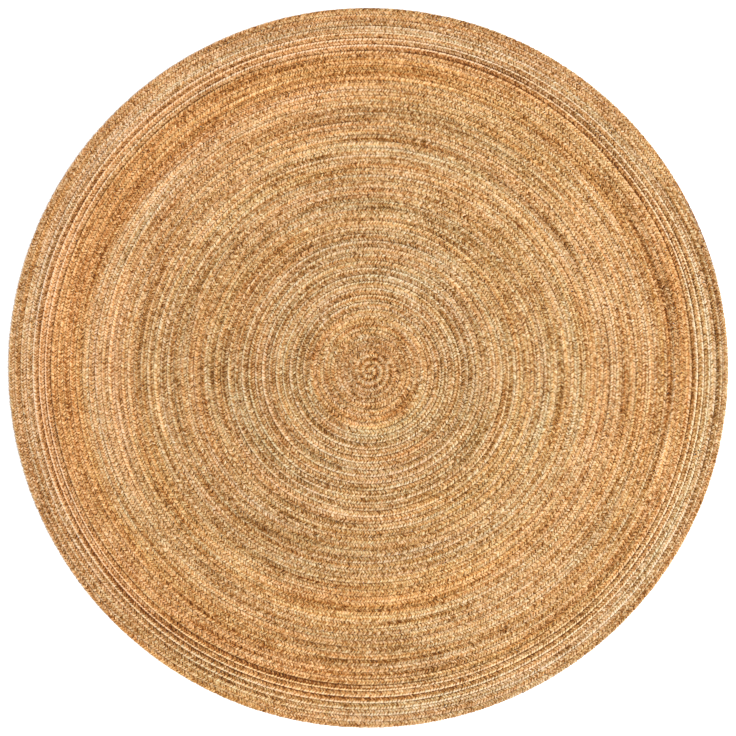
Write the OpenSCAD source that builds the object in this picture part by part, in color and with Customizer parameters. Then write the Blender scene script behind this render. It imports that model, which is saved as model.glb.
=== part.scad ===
// Round braided jute rug, lying flat with its used face up.
// One flat three-strand plait is wound outwards from the centre, clockwise seen from above, and sewn
// edge to edge. It is made up of lengths joined end to end. Each length is a sub-part, and so is the run
// of sewing thread that holds it to the turn inside it.
// Origin: the middle of the underside. +Z points up, away from the floor.

/* [Rug] */
// Diameter of the finished rug
rug_d = 1830; // [1600:10:2200]
// Turns of plait from the centre to the rim
turns = 54; // [48:1:58]
// Share by which the first turns are wider than an even spacing
centre_ease = 0.045; // [0:0.005:0.06]
// Distance of the first turns' middle from the rug's middle
centre_drift = 9; // [0:0.5:12]
// Direction of the plait's outer end, in degrees from +X
tail_dir = 28; // [0:1:359]
// Sweep of the tapered outer end, in degrees
tail_sweep = 130; // [90:5:140]
// Depth trimmed off the outer end's inner side where its taper begins
tail_trim = 0.6; // [0.4:0.1:1]

/* [Plait] */
// Thickness of the plait
braid_t = 9; // [7:0.5:10]
// Width and height of the slope along each edge of the plait
edge_slope = 2.5; // [2.25:0.25:2.75]
// Depth of the valley between the plait's two rows
row_dip = 1.8; // [1:0.1:2]
// Depth of the dip in the middle of the folded start
fold_dip = 1.5; // [1:0.25:2]
// Clear space left between neighbouring turns and between the ends of two lengths
braid_gap = 0.4; // [0.3:0.05:0.8]
// Turns, as shares of the whole, in the four lengths nearest the centre
inner_share = [8, 12.5, 9.5, 4]; // [2:0.5:14]
// Turns, as shares of the whole, in the next four lengths
outer_share = [5.5, 4, 4, 5]; // [2:0.5:8]
// Turns, as a share of the whole, in the last length
last_share = 1.5; // [1.5:0.5:4]

/* [Sewing thread] */
// Diameter of the run of sewing thread between two turns
thread_d = 1.4; // [1:0.1:1.4]
// Height of the thread's middle above the foot of the groove it lies in
thread_rise = 1.4; // [1.2:0.1:1.5]

/* [Hidden] */
// Fineness of the turns, and sides of the thread's section
turn_fn = 144;
thread_fn = 6;
// The turns' places are whole numbers of this step, so that neighbouring half turns meet exactly
step = 0.02;
// Colours of the nine lengths, from the centre outwards, and of the thread
tones = [
    "#c48f60", "#c1996c", "#c99a66",
    "#cf9d66", "#c8935c", "#d0a06c",
    "#c58b52", "#c99a69", "#bf9468"
];
thread_tone = "#b08a5c";

// The winding is drawn in half turns. Half turn k runs from crossing k to crossing k + 1.
// Crossings lie on one line through the origin, towards its + end for even k and its - end for odd k.
half_turns = 2 * turns;
rug_r = rug_d / 2;
mean_pitch = rug_r / (turns + 1);
start_r = mean_pitch * (1 + centre_ease) / 2;
rim_pitch = mean_pitch * (1 - 2 * centre_ease);

// Share of the way to the last crossing, and the turns' even growth along it
function along(k) = k / half_turns;
function eased(u) = u + centre_ease * (u - pow(u, 3));

// Towards the rim the growth gathers in the half turns on the outer end's side
function lean(k) = (k % 2 == 0 ? -1 : 1) * rim_pitch / 4 * pow(along(k), 2);
reach = rug_r - rim_pitch / 2 + rim_pitch / 4 - start_r;

// Distance of crossing k from the turns' middle, to a whole step
function crossing(k) = round((start_r + reach * eased(along(k)) + lean(k)) / step) * step;
function side(k) = k % 2 == 0 ? 1 : -1;

// The first turns lie off the middle along the crossing line, and the later ones less and less
drift_from = 0.45;
function late(k) = max(0, along(k) - drift_from) / (1 - drift_from);
function fade(v) = 1 - 3 * pow(v, 2) + 2 * pow(v, 3);
function drift(k) = -round(centre_drift * fade(late(k)) / step) * step;
function place(k) = side(k) * crossing(k) + drift(k);

// Centre and radius of half turn k, and spacing of the turns at crossing k
function arc_x(k) = (place(k) + place(k + 1)) / 2;
function arc_r(k) = abs(place(k) - place(k + 1)) / 2;
function spacing(k) = abs(place(k) - place(k - 2));

// First half turn of each length, from the shares
shares = concat(inner_share, outer_share, [last_share]);
pieces = len(shares);
function total(v, n) = n == 0 ? 0 : v[n - 1] + total(v, n - 1);
function first_half(i) = round(half_turns * total(shares, i) / total(shares, pieces));

// Width of each length: its tightest spacing, less the gap
function tightest(i) = min([for (k = [max(2, first_half(i - 1)) : first_half(i)]) spacing(k)]);
function braid_w(i) = floor((tightest(i) - braid_gap) / step) * step;

// Section of the plait: two rows side by side with a shallow valley between them, pressed flat below
module plait_section(w) {
    side_x = w / 2;
    row_x = side_x - edge_slope;
    polygon([
        [-side_x, edge_slope],
        [-side_x, braid_t - edge_slope],
        [-row_x, braid_t],
        [-row_x / 2, braid_t],
        [0, braid_t - row_dip],
        [row_x / 2, braid_t],
        [row_x, braid_t],
        [side_x, braid_t - edge_slope],
        [side_x, edge_slope],
        [row_x, 0],
        [-row_x, 0]
    ]);
}

// Half turn k of whatever section is given, clockwise from its inner end and stopped short of its
// outer end by a gap
module half_turn(x, r, k, gap) {
    translate([x, 0, 0])
        mirror(k % 2 == 0 ? [0, 1, 0] : [1, 0, 0])
            rotate_extrude(angle = 180 - gap / r * 180 / PI, $fn = turn_fn)
                translate([r, 0])
                    children();
}

// Half disc with the plait's outer edge and a dip in its middle
module half_disc(r) {
    rotate_extrude(angle = 180, $fn = turn_fn)
        polygon([
            [0, 0],
            [0, braid_t - fold_dip],
            [(r - edge_slope) / 2, braid_t],
            [r - edge_slope, braid_t],
            [r, braid_t - edge_slope],
            [r, edge_slope],
            [r - edge_slope, 0]
        ]);
}

// The plait's folded start: a half disc on one side of the crossing line and a smaller one on the other
module folded_start(w) {
    upper_r = crossing(0) / 2;
    translate([place(0) - upper_r, 0, 0]) half_disc(upper_r + w / 2);
    mirror([0, 1, 0]) translate([arc_x(0), 0, 0]) half_disc(arc_r(0) - w / 2 - braid_gap);
}

// The tapered outer end: it keeps to the rim while the turn inside it grows out to meet the rim
module tail(w) {
    inner_k = half_turns - 2;
    inner_edge = arc_r(inner_k) + w / 2 + braid_gap + tail_trim;
    difference() {
        mirror([0, 1, 0])
            rotate_extrude(angle = tail_sweep, $fn = turn_fn)
                translate([crossing(half_turns), 0])
                    plait_section(w);
        translate([arc_x(inner_k), 0, -braid_t])
            cylinder(r = inner_edge, h = 3 * braid_t, $fn = 2 * turn_fn);
    }
}

// Length i of the plait
module braid(i) {
    w = braid_w(i);
    k0 = first_half(i - 1);
    k1 = first_half(i) - 1;
    last = i == pieces;
    color(tones[i - 1])
        rotate([0, 0, tail_dir + 90])
            union() {
                for (k = [k0 : k1])
                    half_turn(arc_x(k), arc_r(k), k, k == k1 && !last ? braid_gap : 0) plait_section(w);
                if (i == 1) folded_start(w);
                if (last) tail(w);
            }
}

// Thread of half turn k: half way between that turn and the turn inside it
function seam_at(k) = (place(k) + place(k - 2)) / 2;
function seam_x(k) = (seam_at(k) + seam_at(k + 1)) / 2;
function seam_r(k) = abs(seam_at(k) - seam_at(k + 1)) / 2;

// Run of thread that holds length i to the turn inside it
module seam(i) {
    k0 = max(2, first_half(i - 1));
    k1 = first_half(i) - 1;
    color(thread_tone)
        rotate([0, 0, tail_dir + 90])
            union()
                for (k = [k0 : k1])
                    half_turn(seam_x(k), seam_r(k), k, k == k1 ? braid_gap : 0)
                        translate([0, braid_t - edge_slope + thread_rise])
                            circle(d = thread_d, $fn = thread_fn);
}

for (i = [1 : pieces]) {
    braid(i);
}
for (i = [1 : pieces]) {
    seam(i);
}
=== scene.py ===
"""Looks of a round braided jute rug.

Each length of plait is three jute strands that cross over each other, wound outwards clockwise seen
from above. Zigzag stitches hold each turn to the one inside it. Metres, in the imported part's frame.
"""
import math

import bpy
import numpy as np
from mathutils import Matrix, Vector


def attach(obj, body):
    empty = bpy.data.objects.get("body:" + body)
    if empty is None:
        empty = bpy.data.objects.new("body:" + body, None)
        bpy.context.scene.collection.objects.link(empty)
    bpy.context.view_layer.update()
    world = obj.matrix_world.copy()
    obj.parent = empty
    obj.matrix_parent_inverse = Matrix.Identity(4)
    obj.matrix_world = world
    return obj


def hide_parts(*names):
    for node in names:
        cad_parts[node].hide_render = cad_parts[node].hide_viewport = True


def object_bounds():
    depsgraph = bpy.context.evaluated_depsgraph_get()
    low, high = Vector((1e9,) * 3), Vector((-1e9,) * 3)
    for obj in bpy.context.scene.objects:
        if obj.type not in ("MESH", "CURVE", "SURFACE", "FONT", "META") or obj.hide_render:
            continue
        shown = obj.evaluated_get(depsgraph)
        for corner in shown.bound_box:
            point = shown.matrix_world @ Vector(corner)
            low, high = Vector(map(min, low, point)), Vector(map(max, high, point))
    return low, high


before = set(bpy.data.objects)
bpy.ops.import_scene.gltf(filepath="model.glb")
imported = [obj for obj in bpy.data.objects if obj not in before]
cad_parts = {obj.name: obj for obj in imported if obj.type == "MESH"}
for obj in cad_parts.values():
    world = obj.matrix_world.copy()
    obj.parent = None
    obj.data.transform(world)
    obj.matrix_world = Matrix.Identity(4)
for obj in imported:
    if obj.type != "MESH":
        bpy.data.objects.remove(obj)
cad_low, cad_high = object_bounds()
MM = 0.001

# ---------------------------------------------------------------- the winding, as the part has it
RUG_R = round((cad_high.x - cad_low.x) / 2, 3)
PLAIT_T = cad_high.z - cad_low.z
TURNS = 54
CENTRE_EASE = 0.045
TAIL_DIR = math.radians(28)
LENGTH_TURNS = [0, 8, 20.5, 30, 34, 39.5, 43.5, 47.5, 52.5, 54]

MEAN_PITCH = RUG_R / (TURNS + 1)
START_R = MEAN_PITCH * (1 + CENTRE_EASE) / 2
RIM_PITCH = MEAN_PITCH * (1 - 2 * CENTRE_EASE)
REACH = RUG_R - RIM_PITCH / 4 - START_R
START_DIR = TAIL_DIR + math.pi / 2
CENTRE_DRIFT = 9 * MM      # the first turns lie this far off the rug's middle, away from START_DIR
DRIFT_FROM = 0.45          # share of the turns from which they come back to it

# The turns step outwards near the tail: width of that step in turns, and where it lies in a turn
STEP_WIDTH = 0.085
STEP_PLACE = 0.25
TAIL_TIP = 0.006           # turns of the taper's last sliver, which is left off
TAIL_TURNS = STEP_PLACE + STEP_WIDTH / 2 - TAIL_TIP

# Slow waves of the turns, which only the looks have: times round, size in mm, direction of a crest in
# degrees, and where they set in as a share of the radius
WAVES = [(2, 2.6, 10, 0.30), (3, 2.4, 92, 0.05), (5, 0.8, 40, 0.10), (7, 0.5, 15, 0.20)]
WAVE_RISE = 0.25           # share of the radius over which a wave sets in

# ---------------------------------------------------------------- the plait
PERIOD = 22 * MM           # length in which a strand comes back to the same side
STRANDS = "abc"
STRAND_HALF_W = 3.3 * MM   # a strand is a flat oval, level on the plait's faces and upright at its edges
STRAND_HALF_T = 1.95 * MM
LIFT = PLAIT_T / 2 - STRAND_HALF_T    # how far a strand rises over and dips under the plait's middle
PRESS = 0.9 * MM           # how far a turn's edge is pressed in by the next turn
CENTRE_TURNS = 3           # the first turns are pressed in further
CENTRE_PRESS = 1.0 * MM
RINGS = 12                 # rings of vertices in each period
SIDES = 6                  # sides of a strand's section
JOIN_GAP = 0.3 * MM        # left between the ends of two lengths
START_TUCK = 0.03          # the first strands begin this share of a turn late, clear of the very middle
TUCK = 5 * MM              # length over which a strand's end thins
END_SIZE = 0.65            # share of its size that is left there
SLIMMEST = 0.12            # a strand's thickness follows the plait's width down to this share of it
TAKE_UP = 1.25             # length of a strand in each metre of plait
STRANDS_APART = 200        # metres between the places in the fibre's noise where the three strands begin

# How uneven the plait is: size, and length in metres over which it changes
LOOSENESS = (0.50, 0.027)  # of each strand's place along the plait, as an angle of its crossing
DRAG = (0.45, 0.07)        # the same for all three strands together, in short stretches
SLOW_DRAG = (0.5, 0.3)     # and in long ones
SWELL = (0.28, 0.017)      # of a strand's size, in short stretches
SLOW_SWELL = (0.08, 0.2)   # and in long ones
TIGHTNESS = (0.5, 0.4)     # of the pressing of the turns' edges
SWAY = (0.5 * MM, 0.013)   # of a strand's place across the plait
BOB = (0.25 * MM, 0.015)   # of its height
TILT = (0.5 * MM, 0.35)    # of the height of the plait's edges, in long stretches
ROCK = (0.3 * MM, 0.08)    # and in short ones

# ---------------------------------------------------------------- the sewing thread
STITCH = 11 * MM           # length of one zig and one zag
STITCH_POINTS = 4          # rings of vertices in each
STITCH_HALF_W = 1.9 * MM   # how far the zigzag reaches to each side of the groove
STITCH_ARCH = 0.4 * MM     # how far the thread dips in the groove and rises over its sides
STITCH_BOB = (0.2 * MM, 0.04)    # how uneven its height is, and over what length in metres
THREAD_R = 0.65 * MM
THREAD_SIDES = 3
THREAD_Z = 7.1 * MM        # height of the thread's middle


def ease(x):
    """Smooth step from 0 to 1."""
    x = np.clip(x, 0, 1)
    return x * x * (3 - 2 * x)


KNOTS = 65536              # random values along a ripple, after which it repeats
KNOTS_BEFORE = 40          # how many of them lie before x = 0


def ripple(x, wavelength, seed):
    """Smooth seeded noise along x, from -1 to 1."""
    knots = np.random.default_rng(seed).uniform(-1, 1, KNOTS)
    along = x / wavelength + KNOTS_BEFORE
    first = np.floor(along).astype(int)
    share = ease(along - first)
    return knots[first % KNOTS] * (1 - share) + knots[(first + 1) % KNOTS] * share


def uneven(x, amount, seed):
    """Ripple along x by an amount, which is a size and a wavelength."""
    size, wavelength = amount
    return size * ripple(x, wavelength, seed)


def spiral(t):
    """Radius and half width of the plait's middle line, t turns from the start."""
    u = np.clip(t, 0, None) / TURNS
    even = START_R + REACH * (u + CENTRE_EASE * (u - u**3))
    pitch = REACH / TURNS * (1 + CENTRE_EASE * (1 - 3 * u**2))
    in_turn = np.mod(t + STEP_PLACE, 1)
    stepped = ease((in_turn - 2 * STEP_PLACE) / STEP_WIDTH + 0.5)
    radius = even + np.minimum(u, 1) ** 2 * pitch * (stepped - in_turn)
    half_w = pitch / 2
    # before the start, the plait's end tapers into the centre
    inner = START_R * (1 + np.minimum(t, 0))
    return np.where(t < 0, inner, radius), np.where(t < 0, inner, half_w)


def plait_line(t):
    """Radius and half width of the plait with its tapered outer end."""
    radius, half_w = spiral(t)
    inside_r, inside_w = spiral(t - 1)
    rim = spiral(np.array([float(TURNS)]))
    rim_edge = rim[0][0] + rim[1][0]
    tail_w = (rim_edge - inside_r - inside_w) / 2
    is_tail = t > TURNS
    return np.where(is_tail, rim_edge - tail_w, radius), np.where(is_tail, tail_w, half_w)


def place(t, across=0.0):
    """x, y of a point across metres outwards from the plait's middle line."""
    radius, _ = plait_line(t)
    at_r = np.clip(radius + across, 0, None)
    angle = START_DIR - 2 * math.pi * t
    share = np.clip(at_r / RUG_R, 0, 1)
    for times, size, crest, begin in WAVES:
        swell = np.sin(math.pi * share) * ease((share - begin) / WAVE_RISE)
        at_r = at_r + size * MM * swell * np.cos(times * (angle - math.radians(crest)))
    off = -CENTRE_DRIFT * (1 - ease((t / TURNS - DRIFT_FROM) / (1 - DRIFT_FROM)))
    x = at_r * np.cos(angle) + off * math.cos(START_DIR)
    y = at_r * np.sin(angle) + off * math.sin(START_DIR)
    return x, y


# Distance along the plait's middle line at each of many places
LINE_PLACES = 200001
turn_at = np.linspace(-1, TURNS + TAIL_TURNS, LINE_PLACES)
line_x, line_y = place(turn_at)
run = np.concatenate([[0], np.cumsum(np.hypot(np.diff(line_x), np.diff(line_y)))])
run = run - np.interp(0, turn_at, run)


def rings(points, flat, thick, sides):
    """Oval rings of vertices along points, with each one's level and upward offset and the level way."""
    along = np.gradient(points, axis=0)
    along /= np.linalg.norm(along, axis=1)[:, None]
    level = np.cross(along, (0, 0, 1))
    level /= np.linalg.norm(level, axis=1)[:, None]
    up = np.cross(level, along)
    angle = math.pi / 2 + 2 * math.pi * np.arange(sides) / sides
    wide = np.asarray(flat)[:, None] * np.cos(angle)
    high = np.asarray(thick)[:, None] * np.sin(angle)
    at = points[:, None] + level[:, None] * wide[..., None] + up[:, None] * high[..., None]
    return at, wide, high, level


# The layout of a tube's surface for textures
ROW_SPREAD = 1.15          # height of a row of the layout, against the part of it that the tube takes
ROW_FILL = 0.985           # share of the layout's width that the rows take
CAP_SIZE = 0.006           # size of the tube's ends in it


def tube(name, at, attributes):
    """A closed tube through rings of vertices, with vector attributes."""
    count, sides = at.shape[:2]
    ring = np.arange(count - 1)[:, None] * sides
    side = np.arange(sides)
    nxt = (side + 1) % sides
    quads = np.stack([ring + side, ring + sides + side, ring + sides + nxt, ring + nxt], -1)
    corners = np.concatenate([quads.ravel(), side, (count - 1) * sides + side[::-1]])
    starts = np.concatenate([np.arange((count - 1) * sides) * 4, quads.size + np.array([0, sides])])
    mesh = bpy.data.meshes.new(name)
    mesh.vertices.add(count * sides)
    mesh.vertices.foreach_set("co", at.astype(np.float32).ravel())
    mesh.loops.add(len(corners))
    mesh.loops.foreach_set("vertex_index", corners.astype(np.int32))
    mesh.polygons.add(len(starts))
    mesh.polygons.foreach_set("loop_start", starts.astype(np.int32))
    mesh.update(calc_edges=True)
    mesh.polygons.foreach_set("use_smooth", np.ones(len(starts), bool))

    # the tube is laid out in rows, so that a texture follows it at one scale
    middle = at.mean(1)
    length = np.linalg.norm(np.diff(middle, axis=0), axis=1).sum()
    girth = np.linalg.norm(np.diff(at, axis=1, append=at[:, :1]), axis=2).sum(1).mean()
    rows = max(1, math.ceil(math.sqrt(length / (girth * ROW_SPREAD))))
    per_row = math.ceil((count - 1) / rows)
    row, place_in_row = np.divmod(np.arange(count - 1), per_row)
    left = place_in_row / per_row
    right = left + 1 / per_row
    u = np.stack([left, right, right, left], -1)[:, None].repeat(sides, 1)
    low = (1 - 1 / ROW_SPREAD) / 2 + side / sides / ROW_SPREAD
    top = low + 1 / sides / ROW_SPREAD
    v = (row[:, None, None] + np.stack([low, low, top, top], -1)[None]) / rows
    uv = np.zeros((len(corners), 2), np.float32)
    uv[:quads.size, 0] = u.ravel() * ROW_FILL
    uv[:quads.size, 1] = v.ravel()
    turn = 2 * math.pi * side / sides
    cap = 0.5 + 0.5 * np.stack([np.cos(turn), np.sin(turn)], -1)
    uv[quads.size:quads.size + sides] = (ROW_FILL, 0) + cap * CAP_SIZE
    uv[quads.size + sides:] = (ROW_FILL, 2 * CAP_SIZE) + cap[::-1] * CAP_SIZE
    mesh.uv_layers.new(name="OFBake").uv.foreach_set("vector", uv.ravel())

    for key, vectors in attributes.items():
        vectors = np.stack(np.broadcast_arrays(*vectors), -1).astype(np.float32)
        mesh.attributes.new(key, "FLOAT_VECTOR", "POINT").data.foreach_set("vector", vectors.ravel())
    piece = bpy.data.objects.new(name, mesh)
    bpy.context.scene.collection.objects.link(piece)
    return piece


# ---------------------------------------------------------------- materials
def node(tree, kind, settings=None, **inputs):
    """A node with its settings. An input is named, or numbered as in i0, and is a value or an output."""
    made = tree.nodes.new("ShaderNode" + kind)
    for key, value in (settings or {}).items():
        setattr(made, key, value)
    for key, value in inputs.items():
        socket = made.inputs[int(key[1:])] if key[0] == "i" and key[1:].isdigit() else made.inputs[key]
        if isinstance(value, bpy.types.NodeSocket):
            tree.links.new(value, socket)
        else:
            socket.default_value = value
    return made


def sums(tree, operation, first, second=0.0, third=0.0):
    """One step of arithmetic on numbers."""
    return node(tree, "Math", {"operation": operation}, i0=first, i1=second, i2=third).outputs[0]


def noise(tree, vector, scale, shift=0.0, detail=1.0, roughness=0.7):
    """Noise from -0.5 to 0.5, at a vector multiplied by scale and then shifted."""
    at = node(tree, "VectorMath", {"operation": "MULTIPLY_ADD"}, i0=vector, i1=scale, i2=(shift,) * 3)
    made = node(tree, "TexNoise", None, Vector=at.outputs[0], Scale=1.0, Detail=detail,
                Roughness=roughness)
    return sums(tree, "SUBTRACT", made.outputs[0], 0.5)


def multiplied(tree, colour, tint, share=1.0):
    """A colour multiplied by a tint, by some share."""
    return node(tree, "Mix", {"data_type": "RGBA", "blend_type": "MULTIPLY"},
                i0=share, i6=colour, i7=tint).outputs[2]


def ramp(tree, factor, stops):
    """A colour ramp through stops of (place, colour)."""
    made = node(tree, "ValToRGB", None, Fac=factor)
    elements = made.color_ramp.elements
    while len(elements) < len(stops):
        elements.new(1.0)
    for element, (at, colour) in zip(elements, stops):
        element.position = at
        element.color = (*colour, 1)
    return made.outputs[0]


# Jute from the darkest fibre to the palest
JUTE = [
    (0.00, (0.110, 0.034, 0.005)),
    (0.22, (0.300, 0.130, 0.025)),
    (0.50, (0.516, 0.320, 0.144)),
    (0.75, (0.675, 0.482, 0.262)),
    (1.00, (0.810, 0.630, 0.400)),
]
BARK = (0.085, 0.040, 0.012, 1)
# painted shade: tint of the fibre deep between the strands, where shade falls
DEEP_SHADE_TINT = (1.0, 0.80, 0.48, 1)
GREYISH = (0.93, 1.0, 1.16)
ORANGE = (1.08, 0.93, 0.75)
PINKISH = (1.06, 0.95, 0.94)
GOLDEN = (0.97, 1.04, 0.97)
EDGE_LIFT = 0.45           # how much a pale edge of full strength adds to the tone
DEEP_SHADE_LOSS = 0.10           # painted shade: how much the deepest fibre between the strands loses of the tone
SPECK_SPREAD = 0.45        # how much the bits of bark gather in places


def smooth_range(tree, value, start, end, first, last):
    """first up to start and last from end on, with a smooth change between them."""
    return node(tree, "MapRange", {"interpolation_type": "SMOOTHSTEP"},
                i0=value, i1=start, i2=end, i3=first, i4=last).outputs[0]


def attribute(tree, name):
    """The vector attribute name of the mesh."""
    return node(tree, "Attribute", {"attribute_name": name}).outputs["Vector"]


def jute(name, tone, warm, streak):
    """Jute strands. tone is how pale, warm how orange, streak how much it changes along the plait."""
    material = bpy.data.materials.new(name)
    material.use_nodes = True
    tree = material.node_tree
    shader = tree.nodes["Principled BSDF"]
    # metres along the plait, place across it from -1 to 1, and the strand's number
    winding = attribute(tree, "Winding")
    # metres along, across and up through a strand
    fibre = attribute(tree, "Fibre")
    # how much paler, more orange and more golden the jute is
    stain = node(tree, "SeparateXYZ", None, i0=attribute(tree, "Stain"))
    # how pale the plait's outer edge is, with painted light on the -X side, and how much that changes from
    # stretch to stretch
    line = node(tree, "SeparateXYZ", None, i0=attribute(tree, "Edge"))
    around = node(tree, "TexCoord").outputs["Object"]
    # direction from the centre, and distance from it as the third number
    level = node(tree, "VectorMath", {"operation": "MULTIPLY"}, i0=around, i1=(1, 1, 0)).outputs[0]
    facing = node(tree, "VectorMath", {"operation": "NORMALIZE"}, i0=level).outputs[0]
    distance = node(tree, "VectorMath", {"operation": "LENGTH"}, i0=level).outputs["Value"]
    distance = node(tree, "CombineXYZ", None, Z=distance).outputs[0]
    round_rug = node(tree, "VectorMath", {"operation": "ADD"}, i0=facing, i1=distance).outputs[0]

    # tone: each row is a vector, its scale, the noise's shift and detail, and its weight
    total = sums(tree, "ADD", stain.outputs[0], tone)
    for vector, scale, shift, detail, weight in [
        (winding, (1 / 1.8, 0.8, 0), 3, 0, 0.35 * streak),
        (winding, (1 / 0.7, 1.2, 0), 13, 0, 0.40 * streak),
        (winding, (1 / 0.25, 1.5, 0), 11, 1, 0.60 * streak),
        (winding, (1 / 0.15, 0.4, 5.3), 23, 1, 0.75 * streak),
        (winding, (1 / 0.05, 1.7, 3.1), 19, 1, 0.55),
        (fibre, (1 / 0.15, 30, 30), 17, 1, 0.40),
        (fibre, (1 / 0.016, 90, 90), 5, 1, 0.55),
        (fibre, (1 / 0.005, 170, 170), 31, 1, 0.70),
        (fibre, (1 / 0.020, 460, 460), 29, 1, 1.80),
        (fibre, (1 / 0.012, 1500, 1500), 27, 1, 0.45),
        (round_rug, (1.3, 1.3, 28), 7, 0, 0.20),
        (round_rug, (2.2, 2.2, 75), 9, 0, 0.30),
    ]:
        total = sums(tree, "MULTIPLY_ADD", noise(tree, vector, scale, shift, detail, 0.9), weight, total)

    # the plait's outer edge is paler and its inner edge darker, more in some stretches than in others
    across = node(tree, "SeparateXYZ", None, i0=winding).outputs[1]
    pale = smooth_range(tree, across, 0.42, 0.62, 0.0, 1.0)
    dark = smooth_range(tree, across, -0.95, -0.35, 0.60, 0.0)
    stretch = noise(tree, winding, (1 / 0.8, 0, 0), 41, 1)
    stretch = sums(tree, "MULTIPLY_ADD", stretch, line.outputs[1], line.outputs[0])
    edge = sums(tree, "MULTIPLY", sums(tree, "SUBTRACT", pale, dark), stretch)
    total = sums(tree, "MULTIPLY_ADD", edge, EDGE_LIFT, total)
    # painted shade: fibre deep between the strands is made darker and more saturated than on the faces
    height = node(tree, "SeparateXYZ", None, i0=around).outputs[2]
    height = sums(tree, "ABSOLUTE", sums(tree, "SUBTRACT", height, PLAIT_T / 2))
    deep_shade = smooth_range(tree, height, 0.5 * MM, 3.9 * MM, 1.0, 0.0)
    total = sums(tree, "MULTIPLY_ADD", deep_shade, -DEEP_SHADE_LOSS, total)
    colour = ramp(tree, total, JUTE)
    colour = multiplied(tree, colour, DEEP_SHADE_TINT, deep_shade)

    # patches that are more orange or more grey: vector, scale, shift and weight
    hue = sums(tree, "ADD", stain.outputs[1], warm)
    for vector, scale, shift, weight in [
        (winding, (1 / 1.2, 0.6, 0), 53, 1.0),
        (winding, (1 / 0.12, 1.2, 3.7), 59, 0.8),
        (fibre, (1 / 0.02, 90, 90), 61, 1.0),
        (round_rug, (1.2, 1.2, 20), 67, 0.9),
        (round_rug, (2.0, 2.0, 70), 63, 0.8),
    ]:
        hue = sums(tree, "MULTIPLY_ADD", noise(tree, vector, scale, shift), weight, hue)
    colour = multiplied(tree, colour, ramp(tree, hue, [(0.0, GREYISH), (1.0, ORANGE)]))
    # patches that are more golden or more pinkish: the same
    gold = sums(tree, "ADD", stain.outputs[2], 0.5)
    for vector, scale, shift, weight in [
        (winding, (1 / 0.9, 1.0, 0), 79, 1.0),
        (round_rug, (1.6, 1.6, 30), 77, 0.8),
        (fibre, (1 / 0.012, 200, 200), 89, 2.0),
    ]:
        gold = sums(tree, "MULTIPLY_ADD", noise(tree, vector, scale, shift), weight, gold)
    colour = multiplied(tree, colour, ramp(tree, gold, [(0.0, PINKISH), (1.0, GOLDEN)]))

    # dark bits of bark caught in the fibre
    bark = noise(tree, fibre, (1 / 0.006, 420, 420), 71, 1)
    spread = noise(tree, winding, (1 / 0.1, 1.5, 0), 73, 1)
    bark = sums(tree, "MULTIPLY_ADD", spread, SPECK_SPREAD, bark)
    bark = smooth_range(tree, bark, 0.18, 0.26, 0.0, 0.9)
    colour = node(tree, "Mix", {"data_type": "RGBA"},
                  i0=bark, i6=colour, i7=BARK).outputs[2]
    tree.links.new(colour, shader.inputs["Base Color"])

    # ridges of fibre, which are rougher on top
    ridges = noise(tree, fibre, (1 / 0.03, 1300, 1300), 83, 2)
    ridges = sums(tree, "MULTIPLY_ADD", noise(tree, fibre, (1 / 0.02, 460, 460), 29), 1.0, ridges)
    dry = sums(tree, "MULTIPLY_ADD", ridges, 0.5, 0.78)
    tree.links.new(dry, shader.inputs["Roughness"])
    bump = node(tree, "Bump", None, Strength=0.7, Distance=0.5 * MM, Height=ridges)
    tree.links.new(bump.outputs[0], shader.inputs["Normal"])
    shader.inputs["Specular IOR Level"].default_value = 0.10
    shader.inputs["Sheen Weight"].default_value = 0.10
    shader.inputs["Sheen Roughness"].default_value = 0.5
    shader.inputs["Sheen Tint"].default_value = (1.0, 0.85, 0.65, 1)
    return material


# Turns from the start, and how pale the plait's outer edge is there
PALE_EDGE = [
    (8.0, 0.10), (8.6, 0.50), (20.0, 0.45), (21.5, 0.15), (47.3, 0.15),
    (47.6, 1.45), (50.3, 1.35), (50.8, 0.40), (52.3, 0.40), (52.6, 0.10),
]
EDGE_SWING = 1.4           # how much that changes from stretch to stretch
SWING_TURNS = 8            # turns over which this change sets in
SHADED_SIDE_LIFT = 0.25           # painted light: how much more it shows on the -X side, away from the softbox, than on average

# One row for each length of plait, from the centre outwards: tone, warmth, streaks
LENGTHS = [
    (0.46, 0.62, 0.9),
    (0.47, 0.32, 0.8),
    (0.49, 0.45, 1.0),
    (0.53, 0.50, 1.0),
    (0.52, 0.56, 1.1),
    (0.56, 0.50, 0.9),
    (0.50, 0.64, 1.1),
    (0.46, 0.46, 1.0),
    (0.48, 0.50, 0.8),
]

# Broad marks that stand out on the rug: radius and half width in mm, first and last direction in
# degrees, and how much paler, more orange and more golden the jute is there
MARKS = [
    (50, 30, 0, 360, -0.06, -0.20, -0.15),
    (120, 20, 0, 360, 0.05, 0.00, -0.10),
    (160, 20, 260, 340, 0.10, 0.00, 0.25),
    (270, 90, 300, 400, -0.06, 0.00, 0.00),
    (430, 100, 290, 410, 0.02, 0.05, 0.15),
    (610, 10, 250, 290, -0.20, 0.30, 0.00),
    (600, 30, 190, 300, 0.04, 0.30, 0.00),
    (680, 70, 90, 200, 0.05, 0.00, -0.25),
    (740, 10, 0, 360, -0.15, 0.20, 0.00),
    (765, 35, 70, 200, 0.00, 0.50, -0.10),
    (800, 50, 150, 270, 0.03, 0.15, -0.15),
    (825, 20, 90, 190, 0.10, 0.10, -0.20),
    (830, 10, 30, 80, -0.15, -0.50, -0.10),
    (840, 40, 225, 265, -0.16, 0.10, -0.10),
    (860, 60, 50, 230, 0.02, 0.05, -0.25),
    (865, 15, 0, 360, 0.08, -0.20, 0.00),
    (890, 20, 260, 370, 0.08, -0.20, -0.10),
]
SOFT_TURN = 25             # degrees over which a mark sets in


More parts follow.
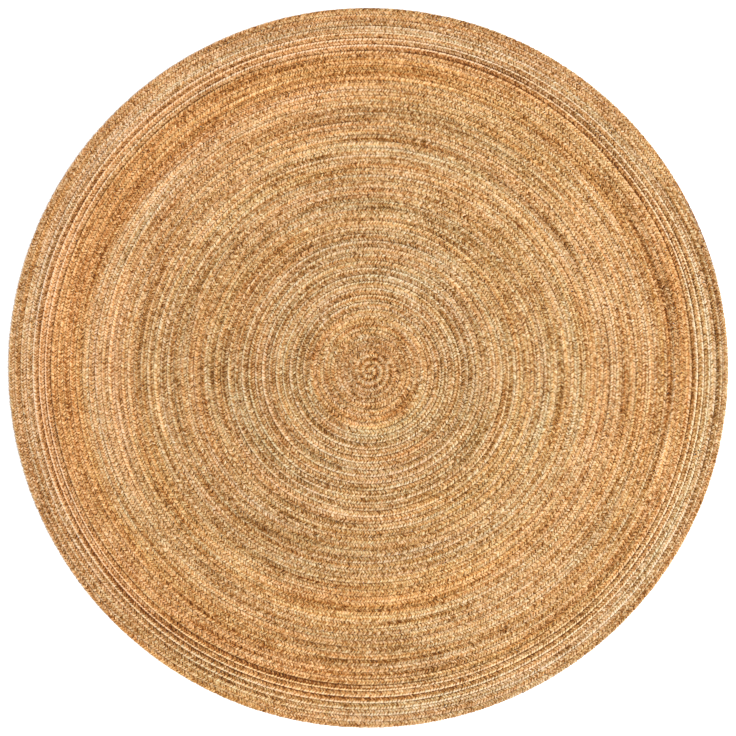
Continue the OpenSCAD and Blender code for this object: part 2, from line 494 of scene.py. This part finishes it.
def stains(x, y):
    """How much paler, more orange and more golden the jute is at x, y."""
    radius = np.hypot(x, y) / MM
    direction = np.degrees(np.arctan2(y, x))
    found = np.zeros((3, *radius.shape))
    for middle, half, first, last, *change in MARKS:
        amount = ease(1.5 - np.abs(radius - middle) / half)
        beyond = np.abs(np.mod(direction - (first + last) / 2 + 180, 360) - 180) - (last - first) / 2
        if last - first < 360:
            amount = amount * ease(0.5 - beyond / SOFT_TURN)
        found += amount * np.reshape(change, (3, *[1] * radius.ndim))
    return found


def strand(index, which):
    """Strand which of length index."""
    begin = -1 + START_TUCK if index == 0 else LENGTH_TURNS[index]
    last = index == len(LENGTHS) - 1
    end = TURNS + TAIL_TURNS if last else LENGTH_TURNS[index + 1]
    s0 = np.interp(begin, turn_at, run)
    s1 = np.interp(end, turn_at, run) - (0 if last else JOIN_GAP)
    s = np.linspace(s0, s1, int((s1 - s0) / PERIOD * RINGS) + 2)
    t = np.interp(s, run, turn_at)
    seed = 100 + 10 * index + which

    # the strand's place in its crossing from side to side
    phase = 2 * math.pi * (s / PERIOD + which / len(STRANDS))
    phase = phase + uneven(s, LOOSENESS, seed) + uneven(s, DRAG, 6) + uneven(s, SLOW_DRAG, 7)

    # its section, smaller where the plait is narrower and at its ends
    _, half_w = plait_line(t)
    size = half_w / (0.5 * MEAN_PITCH)
    slim = np.clip(size, SLIMMEST, 1)
    ends = END_SIZE + (1 - END_SIZE) * ease(np.minimum(s - s0, s1 - s) / TUCK)
    swell = 1 + uneven(s, SWELL, seed + 1) + uneven(s, SLOW_SWELL, seed + 2)
    upright = np.sin(phase) ** 4
    flat = (STRAND_HALF_W * (1 - upright) + STRAND_HALF_T * upright) * size * swell * ends
    thick = (STRAND_HALF_T * (1 - upright) + STRAND_HALF_W * upright) * slim**0.5 * ends
    thick = thick * (1 + 0.5 * (swell - 1))

    # its middle line; the rim's outer edge isn't pressed in
    press = PRESS * (1 + uneven(s, TIGHTNESS, 9)) + CENTRE_PRESS * ease((CENTRE_TURNS - t) / 2)
    free_rim = ease((t - TURNS + 1) / STEP_WIDTH + 0.5)
    press = np.where(np.sin(phase) > 0, press * (1 - free_rim), press)
    across = (half_w - (STRAND_HALF_T - press) * size) * np.sin(phase)
    across = across + size * uneven(s, SWAY, seed + 3) * (1 - free_rim)
    x, y = place(t, across)
    tilt = uneven(s, TILT, 11) + uneven(s, ROCK, 12)
    z = PLAIT_T / 2 + LIFT * slim**0.3 * np.sin(2 * phase) + tilt * np.sin(phase)
    z = z + uneven(s, BOB, seed + 4)
    points = np.stack([x, y, z], -1)
    at, wide, high, level = rings(points, flat / math.cos(math.pi / SIDES), thick, SIDES)

    # a strand is pressed flat against the next turn, and against the floor
    angle = START_DIR - 2 * math.pi * t
    outward = np.stack([np.cos(angle), np.sin(angle)], -1)
    sideways = across[:, None] + wide * (level[:, :2] * outward).sum(1)[:, None]
    pressed = np.clip(sideways, -half_w[:, None], half_w[:, None])
    at[..., :2] += (pressed - sideways)[..., None] * outward[:, None]
    at[..., 2] = np.clip(at[..., 2], 0, None)

    share = pressed / half_w[:, None]
    tone, warm, gold = stains(at[..., 0], at[..., 1])
    metres = (s * TAKE_UP + STRANDS_APART * which)[:, None]
    # painted light: the pale edge is made stronger on the -X side, which faces away from the softbox
    pale_edge_and_painted_light = np.interp(t, *zip(*PALE_EDGE)) * (1 - SHADED_SIDE_LIFT * np.cos(angle))
    swing = EDGE_SWING * ease(t / SWING_TURNS)[:, None]
    piece = tube(f"strand_{index + 1}_{STRANDS[which]}", at, {
        "Winding": (s[:, None], share, which),
        "Fibre": (metres, wide, high),
        "Stain": (tone, warm, gold),
        "Edge": (pale_edge_and_painted_light[:, None], swing + 0 * share, 0),
    })
    piece.data.materials.append(jute_of[index])
    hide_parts(f"braid_{index + 1}")
    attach(piece, "root")


jute_of = [jute(f"jute_{i + 1}", *values) for i, values in enumerate(LENGTHS)]
for length_index in range(len(LENGTHS)):
    for strand_index in range(len(STRANDS)):
        strand(length_index, strand_index)


def stitches(index, material):
    """The zigzag of thread that holds length index to the turn inside it."""
    begin = max(1.0, LENGTH_TURNS[index])
    s0 = np.interp(begin, turn_at, run)
    s1 = np.interp(LENGTH_TURNS[index + 1], turn_at, run) - JOIN_GAP
    count = int((s1 - s0) / STITCH * STITCH_POINTS) + 1
    s = np.linspace(s0, s1, count)
    t = np.interp(s, run, turn_at)
    _, half_w = plait_line(t)
    step = np.arange(count) * 2 * math.pi / STITCH_POINTS
    x, y = place(t, -half_w + np.sin(step) * STITCH_HALF_W)
    z = THREAD_Z - STITCH_ARCH * np.cos(2 * step) + uneven(s, STITCH_BOB, 17)
    thickness = np.full(count, THREAD_R)
    at, wide, high, _ = rings(np.stack([x, y, z], -1), thickness, thickness, THREAD_SIDES)
    piece = tube(f"stitches_{index + 1}", at, {
        "Winding": (s[:, None], 0 * wide, 0),
        "Fibre": (s[:, None], wide, high),
    })
    piece.data.materials.append(material)
    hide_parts(f"seam_{index + 1}")
    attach(piece, "root")


thread = jute("thread", 0.44, 0.8, 0.5)
for length_index in range(len(LENGTHS)):
    stitches(length_index, thread)

# ---------------------------------------------------------------- floor, light and camera
FLOOR_SIZE = 60
FLOOR_WHITE = 0.92
FLOOR_ROUGHNESS = 0.9
FLOOR_GLOW = 0.2           # makes the floor look white, but not under the rug, where it would show through
GLOW_NONE_R = RUG_R - 20 * MM    # up to this distance from the middle the floor doesn't glow
GLOW_FULL_R = RUG_R - 5 * MM     # and from this one on it glows fully
WORLD_STRENGTH = 0.63
SOFTBOX_SIZE = 3.5
SOFTBOX_ENERGY = 822
SOFTBOX_PLACE = (3.9, -1.1, 8.0)
PICTURE_SHARE = 0.977      # how much of the picture's width the rug takes
LENS = 85                  # focal length and width of the sensor, both in mm
SENSOR = 36
CAMERA_X = -1.1 * MM       # the camera looks straight down from here
CAMERA_Y = -0.2 * MM

bpy.ops.mesh.primitive_plane_add(size=FLOOR_SIZE, location=(0, 0, 0))
floor = bpy.context.object
floor.name = "floor"
white = bpy.data.materials.new("floor_white")
white.use_nodes = True
paint = white.node_tree.nodes["Principled BSDF"]
paint.inputs["Base Color"].default_value = (FLOOR_WHITE, FLOOR_WHITE, FLOOR_WHITE, 1)
paint.inputs["Roughness"].default_value = FLOOR_ROUGHNESS
paint.inputs["Emission Color"].default_value = (1, 1, 1, 1)
from_middle = node(white.node_tree, "VectorMath", {"operation": "LENGTH"},
                   i0=node(white.node_tree, "TexCoord").outputs["Object"]).outputs["Value"]
glow = node(white.node_tree, "MapRange", None, i0=from_middle,
            i1=GLOW_NONE_R, i2=GLOW_FULL_R, i3=0.0, i4=FLOOR_GLOW).outputs[0]
white.node_tree.links.new(glow, paint.inputs["Emission Strength"])
floor.data.materials.append(white)

world = bpy.data.worlds.new("studio")
bpy.context.scene.world = world
world.use_nodes = True
world.node_tree.nodes["Background"].inputs["Color"].default_value = (1, 1, 1, 1)
world.node_tree.nodes["Background"].inputs["Strength"].default_value = WORLD_STRENGTH

softbox = bpy.data.lights.new("softbox", "AREA")
softbox.shape = "DISK"
softbox.size = SOFTBOX_SIZE
softbox.energy = SOFTBOX_ENERGY
softbox_object = bpy.data.objects.new("softbox", softbox)
softbox_object.location = SOFTBOX_PLACE
softbox_object.rotation_euler = (-softbox_object.location).to_track_quat("-Z", "Y").to_euler()
bpy.context.scene.collection.objects.link(softbox_object)

camera_data = bpy.data.cameras.new("camera")
camera_data.lens = LENS
camera_data.sensor_width = SENSOR
camera = bpy.data.objects.new("camera", camera_data)
camera.location = (CAMERA_X, CAMERA_Y, 2 * RUG_R / PICTURE_SHARE * LENS / SENSOR)
camera.rotation_euler = (0, 0, 0)
bpy.context.scene.collection.objects.link(camera)
bpy.context.scene.camera = camera
bpy.context.scene.view_settings.view_transform = "Standard"
